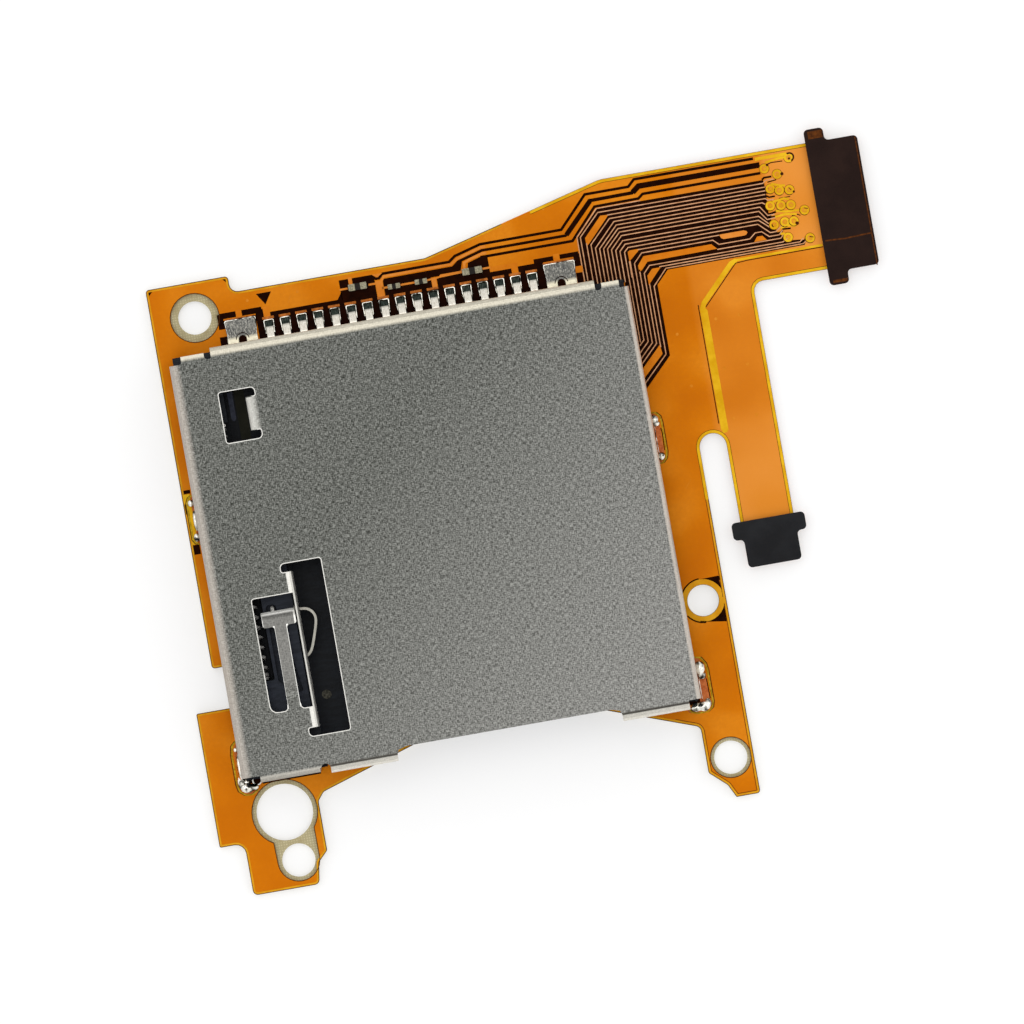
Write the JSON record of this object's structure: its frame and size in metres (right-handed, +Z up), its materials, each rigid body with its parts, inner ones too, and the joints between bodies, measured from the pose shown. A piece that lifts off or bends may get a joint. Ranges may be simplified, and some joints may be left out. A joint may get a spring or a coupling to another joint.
{
  "type": "game card slot",
  "caption": "Push-push card slot: stamped shield over a moulded frame with sprung contacts, on a flexible circuit with two plug tails and screw holes.",
  "frame": {"origin": "on the underside of the stiffener, at the middle of the shield's width and 13.3 mm in front of the shield's back face", "axes": "+X along the contact row towards the main tail, +Y the way the card goes in, +Z up out of the board"},
  "size_m": [0.045, 0.0394, 0.0051],
  "materials": {
    "glass_fibre": "matt glass-fibre laminate",
    "flex_film": "amber film over copper",
    "main_plug_film": "dark brown film",
    "side_plug_film": "black film",
    "housing_plastic": "moulded, satin",
    "slider_plastic": "moulded, satin",
    "spring_steel": "drawn",
    "shield_steel": "rolled, fine matt grain",
    "hold_down_tin": "tinned",
    "contact_metal": "tinned foot, plated spring",
    "solder": "bright solder",
    "chip_ceramic": "ceramic with tinned ends"
  },
  "bodies": {
    "frame": {"housing": "housing_plastic", "shield_cover": "shield_steel", "flex_circuit": "flex_film", "body_stiffener": "glass_fibre", "main_plug_stiffener": "main_plug_film", "side_plug_stiffener": "side_plug_film", "hold_down_left": "hold_down_tin", "hold_down_right": "hold_down_tin", "eject_spring": "spring_steel", "contact_01": "contact_metal", "contact_02": "contact_metal", "contact_03": "contact_metal", "contact_04": "contact_metal", "contact_05": "contact_metal", "contact_06": "contact_metal", "contact_07": "contact_metal", "contact_08": "contact_metal", "contact_09": "contact_metal", "contact_10": "contact_metal", "contact_11": "contact_metal", "contact_12": "contact_metal", "contact_13": "contact_metal", "contact_14": "contact_metal", "contact_15": "contact_metal", "contact_16": "contact_metal", "contact_17": "contact_metal", "solder_left_rear": "solder", "solder_left_front": "solder", "solder_right_rear": "solder", "solder_right_front": "solder", "chip_capacitor_1": "chip_ceramic", "chip_resistor_1": "chip_ceramic", "chip_resistor_2": "chip_ceramic", "chip_capacitor_2": "chip_ceramic"},
    "slide": {"slider": "slider_plastic", "card_lock_spring": "spring_steel"},
    "follower": {"cam_follower": "spring_steel"}
  },
  "joints": [
    {"name": "slider_push", "type": "slide", "parent": "frame", "child": "slide", "axis": [0, 1, 0], "range_m": [0, 0.005], "stiffness_N_per_m": 100, "springref_m": -0.0005, "deforming": ["eject_spring"]},
    {"name": "follower_swing", "type": "hinge", "parent": "frame", "child": "follower", "pos_m": [-0.0101, -0.0099, 0.00374], "axis": [0, 0, 1], "range_deg": [-6.2, 0]}
  ],
  "couplings": [
    {"joint": "follower_swing", "follows": "slider_push", "rad_per_m": -21.43}
  ]
}
